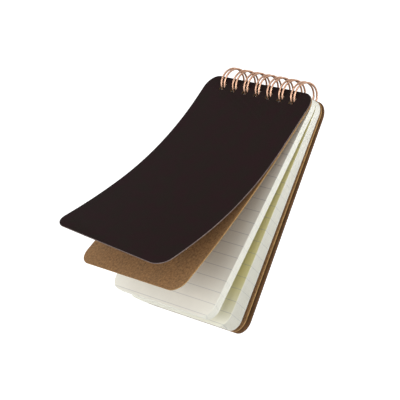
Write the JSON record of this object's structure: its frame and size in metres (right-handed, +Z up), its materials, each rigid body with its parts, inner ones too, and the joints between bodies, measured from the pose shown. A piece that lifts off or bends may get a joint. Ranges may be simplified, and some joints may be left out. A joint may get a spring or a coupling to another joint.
{
  "type": "pocket notebook",
  "caption": "Top-bound pocket notepad with a curled dark card cover, kraft dividers and cream ruled leaves on twin wire loops.",
  "frame": {"origin": "centre of the footprint on the surface it lies on: the loops and the back cover's free edge touch z = 0", "axes": "+X along the spine, +Y towards the spine, +Z up through the front cover"},
  "size_m": [0.0766, 0.1151, 0.0647],
  "materials": {
    "cover_card": "matte, fine grain",
    "kraft": "uncoated kraft with flecks",
    "leaf_paper": "uncoated cream paper, faint grey rules",
    "wire": "satin copper-coloured coating"
  },
  "bodies": {
    "back": {"back_cover": "cover_card"},
    "binding": {"twin_loop_wire": "wire"},
    "back_board": {"back_board": "kraft"},
    "lower_leaves": {"leaf_21": "leaf_paper", "leaf_22": "leaf_paper", "leaf_23": "leaf_paper", "leaf_24": "leaf_paper", "leaf_25": "leaf_paper", "leaf_26": "leaf_paper", "leaf_27": "leaf_paper", "leaf_28": "leaf_paper", "leaf_29": "leaf_paper", "leaf_30": "leaf_paper", "leaf_31": "leaf_paper", "leaf_32": "leaf_paper", "leaf_33": "leaf_paper", "leaf_34": "leaf_paper", "leaf_35": "leaf_paper", "leaf_36": "leaf_paper", "leaf_37": "leaf_paper", "leaf_38": "leaf_paper", "leaf_39": "leaf_paper", "leaf_40": "leaf_paper", "leaf_41": "leaf_paper", "leaf_42": "leaf_paper", "leaf_43": "leaf_paper", "leaf_44": "leaf_paper"},
    "upper_leaves": {"leaf_01": "leaf_paper", "leaf_02": "leaf_paper", "leaf_03": "leaf_paper", "leaf_04": "leaf_paper", "leaf_05": "leaf_paper", "leaf_06": "leaf_paper", "leaf_07": "leaf_paper", "leaf_08": "leaf_paper", "leaf_09": "leaf_paper", "leaf_10": "leaf_paper", "leaf_11": "leaf_paper", "leaf_12": "leaf_paper", "leaf_13": "leaf_paper", "leaf_14": "leaf_paper", "leaf_15": "leaf_paper", "leaf_16": "leaf_paper", "leaf_17": "leaf_paper", "leaf_18": "leaf_paper", "leaf_19": "leaf_paper", "leaf_20": "leaf_paper"},
    "divider": {"front_divider": "kraft"},
    "cover": {"front_cover": "cover_card"}
  },
  "joints": [
    {"name": "back_cover_swing", "type": "hinge", "parent": "back", "child": "binding", "pos_m": [0, 0.05068, 0.0068], "axis": [1, 0, 0], "range_deg": [-12, 0]},
    {"name": "back_board_turn", "type": "hinge", "parent": "binding", "child": "back_board", "pos_m": [0, 0.05068, 0.0068], "axis": [1, 0, 0], "range_deg": [-5, 0]},
    {"name": "lower_leaves_turn", "type": "hinge", "parent": "back_board", "child": "lower_leaves", "pos_m": [0, 0.05068, 0.0068], "axis": [-1, 0, 0], "range_deg": [0, 15]},
    {"name": "upper_leaves_turn", "type": "hinge", "parent": "lower_leaves", "child": "upper_leaves", "pos_m": [0, 0.05068, 0.0068], "axis": [1, 0, 0], "range_deg": [-128, 3.5]},
    {"name": "divider_turn", "type": "hinge", "parent": "upper_leaves", "child": "divider", "pos_m": [0, 0.05068, 0.0068], "axis": [1, 0, 0], "range_deg": [-14, 8]},
    {"name": "front_cover_turn", "type": "hinge", "parent": "divider", "child": "cover", "pos_m": [0, 0.05068, 0.0068], "axis": [-1, 0, 0], "range_deg": [0, 148]}
  ]
}
